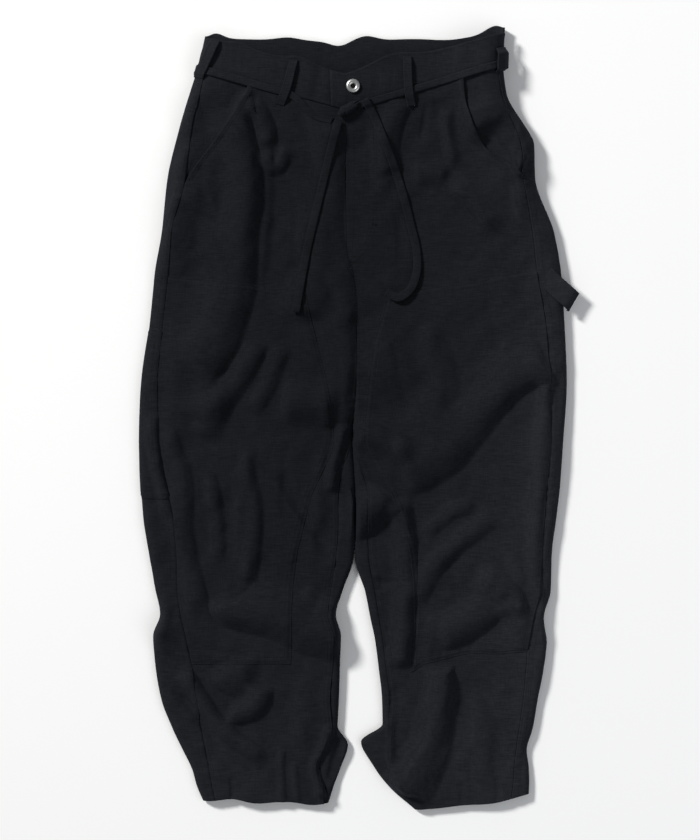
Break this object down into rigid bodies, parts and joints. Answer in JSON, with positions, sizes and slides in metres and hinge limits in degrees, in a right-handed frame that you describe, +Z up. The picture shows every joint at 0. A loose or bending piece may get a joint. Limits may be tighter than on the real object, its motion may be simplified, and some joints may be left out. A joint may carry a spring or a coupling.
{
  "type": "painter trousers",
  "caption": "Navy linen painter trousers laid flat with front up, a tie belt knotted under a metal button, sewn-on knee panels, a tool pocket and a hammer loop",
  "frame": {"origin": "middle of the footprint, on the surface that the trousers lie on", "axes": "+X to the wearer's left side, which is right in the picture; +Y along the garment towards the waist; +Z up out of the surface"},
  "size_m": [0.5368, 0.9574, 0.0349],
  "materials": {
    "navy_cloth": "matt, slubby plain weave",
    "navy_tie": "matt, folded cloth tape",
    "steel": "satin"
  },
  "bodies": {
    "root": {"front_right": "navy_cloth", "front_left": "navy_cloth", "back_right": "navy_cloth", "back_left": "navy_cloth", "knee_panel_right": "navy_cloth", "knee_panel_left": "navy_cloth", "pocket_facing_right": "navy_cloth", "pocket_facing_left": "navy_cloth", "waistband_right": "navy_cloth", "waistband_left": "navy_cloth", "waistband_back": "navy_cloth", "belt_loop_front_right": "navy_cloth", "belt_loop_front_left": "navy_cloth", "belt_loop_side_right": "navy_cloth", "belt_loop_side_left": "navy_cloth", "belt_loop_back": "navy_cloth", "tool_pocket": "navy_cloth", "hammer_loop": "navy_cloth", "tie_belt": "navy_tie", "tie_knot": "navy_tie", "tie_end_right": "navy_tie", "tie_end_left": "navy_tie", "button": "steel"}
  },
  "joints": []
}
